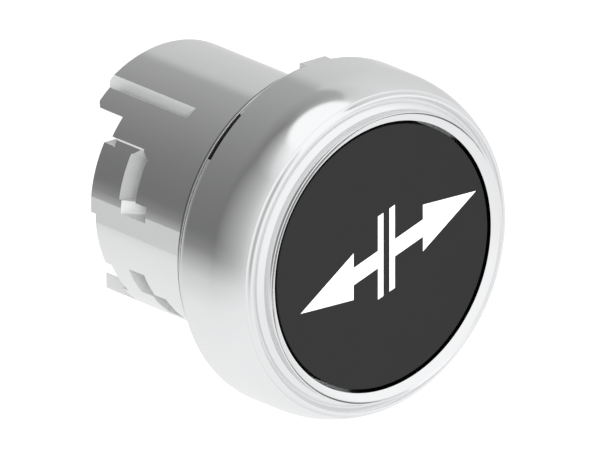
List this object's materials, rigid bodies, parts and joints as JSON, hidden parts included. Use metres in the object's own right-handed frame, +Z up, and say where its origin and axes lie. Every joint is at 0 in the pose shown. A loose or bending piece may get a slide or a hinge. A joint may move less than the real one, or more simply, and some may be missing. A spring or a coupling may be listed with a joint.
{
  "type": "panel push button",
  "caption": "Flush push-button actuator for a 22 mm panel hole: chromed stepped bezel, black sprung cap with a white opening-arrows figure, metal sleeve with bayonet slots.",
  "frame": {"origin": "on the button's axis, in the plane where the gasket meets the front of the panel", "axes": "+Y along the axis, from the cap to the back of the panel (the way the button is pushed); +Z up; +X to the right of a person who faces the cap"},
  "size_m": [0.0298, 0.0289, 0.0298],
  "materials": {
    "chrome": "bright chrome plating",
    "polished_zinc": "smooth nickel-plated zinc casting",
    "rubber": "matt",
    "steel": "bright drawn and stamped steel",
    "black_cap": "satin moulded",
    "white_legend": "satin moulded",
    "grey_plastic": "moulded, slightly matt",
    "black_plastic": "moulded, slightly matt"
  },
  "bodies": {
    "housing": {"bezel_ring": "chrome", "mounting_sleeve": "polished_zinc", "panel_gasket": "rubber", "bezel_seal": "rubber", "lip_seal": "rubber", "seal_clamp_ring": "steel", "guide_bush": "grey_plastic", "spring_seat": "steel", "return_spring": "steel", "bumper_ring": "rubber"},
    "button": {"button_cap": "black_cap", "legend_insert": "white_legend", "plunger": "grey_plastic", "retaining_clip": "steel", "contact_pusher": "black_plastic"}
  },
  "joints": [
    {"name": "button_press", "type": "slide", "parent": "housing", "child": "button", "axis": [0, 1, 0], "range_m": [0, 0.004], "stiffness_N_per_m": 800, "springref_m": -0.003, "deforming": ["return_spring"]}
  ]
}
